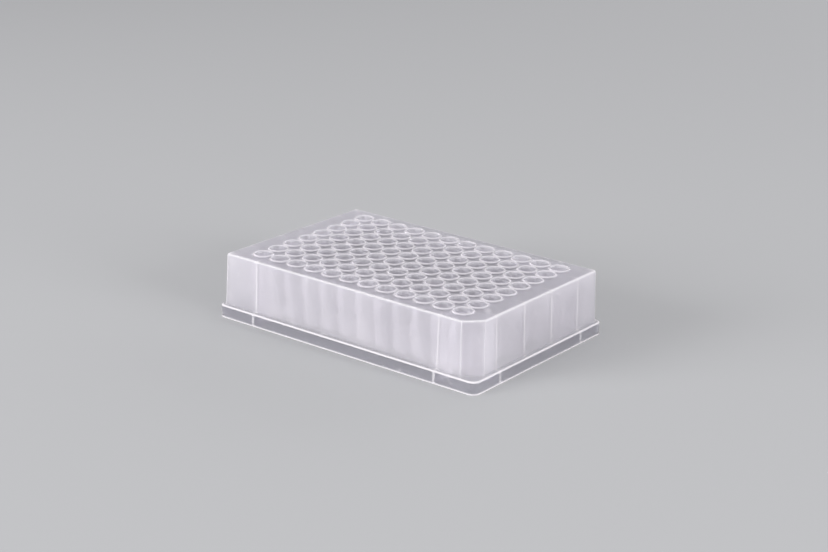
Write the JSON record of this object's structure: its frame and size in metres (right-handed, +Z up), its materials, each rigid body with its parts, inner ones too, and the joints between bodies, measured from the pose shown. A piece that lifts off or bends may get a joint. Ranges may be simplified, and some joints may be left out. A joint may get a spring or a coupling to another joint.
{
  "type": "well plate",
  "caption": "Rectangular storage plate with a grid of round wells, a stepped skirt to stand on and one bevelled corner.",
  "frame": {"origin": "middle of the plate, on the plane of the skirt's bottom edge", "axes": "+X along the long side, +Y along the short side, +Z up out of the wells; the bevelled corner is at +X, -Y"},
  "size_m": [0.1278, 0.0854, 0.027],
  "materials": {
    "polypropylene": "natural translucent polypropylene, smooth and slightly waxy from the mould"
  },
  "bodies": {
    "root": {"well_plate": "polypropylene"}
  },
  "joints": []
}
